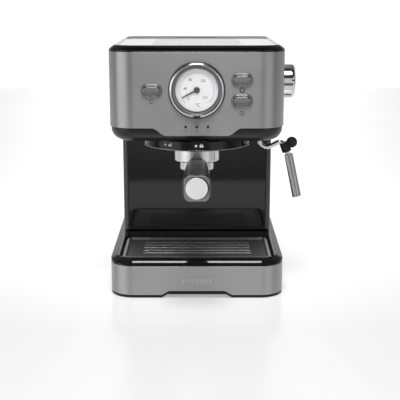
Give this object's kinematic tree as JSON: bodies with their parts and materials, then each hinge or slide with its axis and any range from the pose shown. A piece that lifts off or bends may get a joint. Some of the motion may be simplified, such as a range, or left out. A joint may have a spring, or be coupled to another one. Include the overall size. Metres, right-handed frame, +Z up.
{
  "type": "espresso machine",
  "caption": "Pump espresso machine with a boxy steel head, dial thermometer, push buttons, bayonet portafilter, swinging steam wand, lift-out drip tray and rear water tank.",
  "frame": {"origin": "centre of the footprint box (handle, knob and wand included), on the surface it stands on", "axes": "+X to the user's right, where the steam knob is; +Y from the user towards the water tank; +Z up"},
  "size_m": [0.2424, 0.3438, 0.311],
  "materials": {
    "brushed_steel": "horizontally brushed stainless sheet",
    "steel_plate": "satin stainless plate",
    "sheet_steel": "fine turned or pressed stainless",
    "chrome": "polished chrome plating",
    "cast_alloy": "die-cast, bead blasted",
    "brass": "machined",
    "gloss_black": "piano black moulding",
    "satin_black": "fine grained moulding",
    "housing_grey": "dark grey half gloss moulding",
    "silver": "silver lacquer",
    "rubber": "moulded",
    "dial_white": "white dial with printed scale",
    "needle_black": "matt black",
    "clear_lens": "clear flat glass",
    "lamp_lens": "unlit indicator lens",
    "board_green": "solder resist",
    "smoked_tank": "smoke tinted transparent plastic",
    "hose_white": "silicone hose"
  },
  "bodies": {
    "body": {"base_steel_band": "brushed_steel", "head_steel_band": "brushed_steel", "cup_warmer_plate": "steel_plate", "shower_screen": "sheet_steel", "shower_screw": "sheet_steel", "gauge_bezel": "chrome", "button_bezel_single_cup": "chrome", "button_bezel_double_cup": "chrome", "button_bezel_steam": "chrome", "group_trim_ring": "chrome", "wand_nut": "chrome", "group_collar": "cast_alloy", "boiler": "cast_alloy", "steam_feed_pipe": "brass", "steam_outlet_pipe": "brass", "steam_valve": "brass", "base_rim": "gloss_black", "splash_panel": "gloss_black", "head_top_rim": "gloss_black", "base_tub": "satin_black", "column_shell": "satin_black", "gauge_housing": "satin_black", "pump": "satin_black", "brew_thermostat": "satin_black", "steam_thermostat": "satin_black", "head_lower_cover": "housing_grey", "group_disc": "housing_grey", "foot_front_left": "rubber", "foot_front_right": "rubber", "foot_rear_left": "rubber", "foot_rear_right": "rubber", "cord_gland": "rubber", "group_gasket": "rubber", "gauge_dial": "dial_white", "gauge_glass": "clear_lens", "lamp_left": "lamp_lens", "lamp_middle": "lamp_lens", "lamp_right": "lamp_lens", "control_board": "board_green", "pressure_hose": "hose_white", "suction_hose": "hose_white"},
    "button_single_cup": {"button_single_cup": "silver"},
    "button_double_cup": {"button_double_cup": "silver"},
    "button_steam": {"button_steam": "silver"},
    "needle": {"gauge_needle": "needle_black"},
    "steam_knob": {"steam_knob": "silver", "steam_spindle": "sheet_steel"},
    "steam_wand": {"wand_tube": "chrome", "wand_grip": "rubber", "froth_sleeve": "sheet_steel"},
    "portafilter": {"portafilter_body": "chrome", "filter_basket": "sheet_steel", "twin_spout": "chrome", "portafilter_handle": "satin_black", "handle_cap": "silver"},
    "drip_tray": {"drip_tray": "satin_black"},
    "drip_grate": {"drip_grate": "steel_plate"},
    "water_tank": {"water_tank": "smoked_tank", "tank_valve": "satin_black"},
    "tank_lid": {"tank_lid": "satin_black"}
  },
  "joints": [
    {"name": "press_single_cup", "type": "slide", "parent": "body", "child": "button_single_cup", "axis": [0, 1, 0], "range_m": [0, 0.002], "stiffness_N_per_m": 400, "springref_m": -0.0015},
    {"name": "press_double_cup", "type": "slide", "parent": "body", "child": "button_double_cup", "axis": [0, 1, 0], "range_m": [0, 0.002], "stiffness_N_per_m": 400, "springref_m": -0.0015},
    {"name": "press_steam", "type": "slide", "parent": "body", "child": "button_steam", "axis": [0, 1, 0], "range_m": [0, 0.002], "stiffness_N_per_m": 400, "springref_m": -0.0015},
    {"name": "needle_swing", "type": "hinge", "parent": "body", "child": "needle", "pos_m": [-0.01268, -0.0923, 0.2588], "axis": [0, 1, 0], "range_deg": [-20, 225]},
    {"name": "steam_knob_turn", "type": "hinge", "parent": "body", "child": "steam_knob", "pos_m": [0.09442, -0.0223, 0.2633], "axis": [1, 0, 0], "range_deg": [0, 270]},
    {"name": "steam_wand_swing", "type": "hinge", "parent": "body", "child": "steam_wand", "pos_m": [0.06632, -0.0223, 0.19], "axis": [0, 0, 1], "range_deg": [-75, 30]},
    {"name": "portafilter_twist", "type": "hinge", "parent": "body", "child": "portafilter", "pos_m": [-0.01268, -0.0183, 0.18], "axis": [0, 0, -1], "range_deg": [0, 35]},
    {"name": "drip_tray_lift", "type": "slide", "parent": "body", "child": "drip_tray", "axis": [0, 0, 1], "range_m": [0, 0.038]},
    {"name": "drip_grate_lift", "type": "slide", "parent": "drip_tray", "child": "drip_grate", "axis": [0, 0, 1], "range_m": [0, 0.025]},
    {"name": "water_tank_lift", "type": "slide", "parent": "body", "child": "water_tank", "axis": [0, 0, 1], "range_m": [0, 0.07]},
    {"name": "tank_lid_hinge", "type": "hinge", "parent": "water_tank", "child": "tank_lid", "pos_m": [-0.01268, 0.1692, 0.298], "axis": [-1, 0, 0], "range_deg": [0, 95]}
  ]
}
